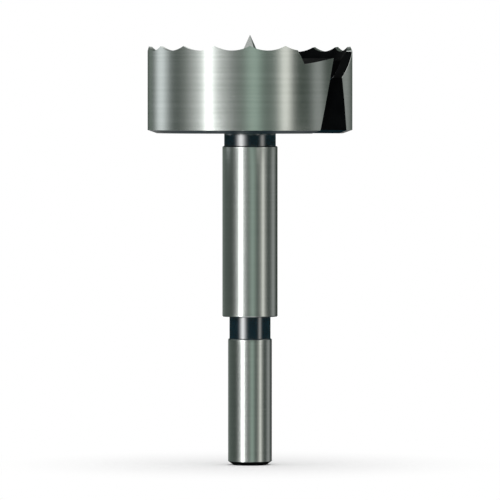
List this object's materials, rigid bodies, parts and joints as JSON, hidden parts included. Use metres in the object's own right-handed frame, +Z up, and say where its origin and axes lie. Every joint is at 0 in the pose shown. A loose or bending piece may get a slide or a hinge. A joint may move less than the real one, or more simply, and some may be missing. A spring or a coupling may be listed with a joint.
{
  "type": "forstner bit",
  "caption": "Forstner bit for boring flat-bottomed holes in wood: cup-shaped head with a serrated rim, lifter blades, open chip throats and a centre spur on a stepped round shank.",
  "frame": {"origin": "centre of the shank's end face", "axes": "+Z up the bit's axis from the shank's end to the spur, +X along one lifter's cutting edge"},
  "size_m": [0.0444, 0.0444, 0.0934],
  "materials": {
    "tool_steel": "cylindrically ground bright on the outside, blue-black oxide in the grooves, throats and pocket"
  },
  "bodies": {
    "root": {"forstner_bit": "tool_steel"}
  },
  "joints": []
}
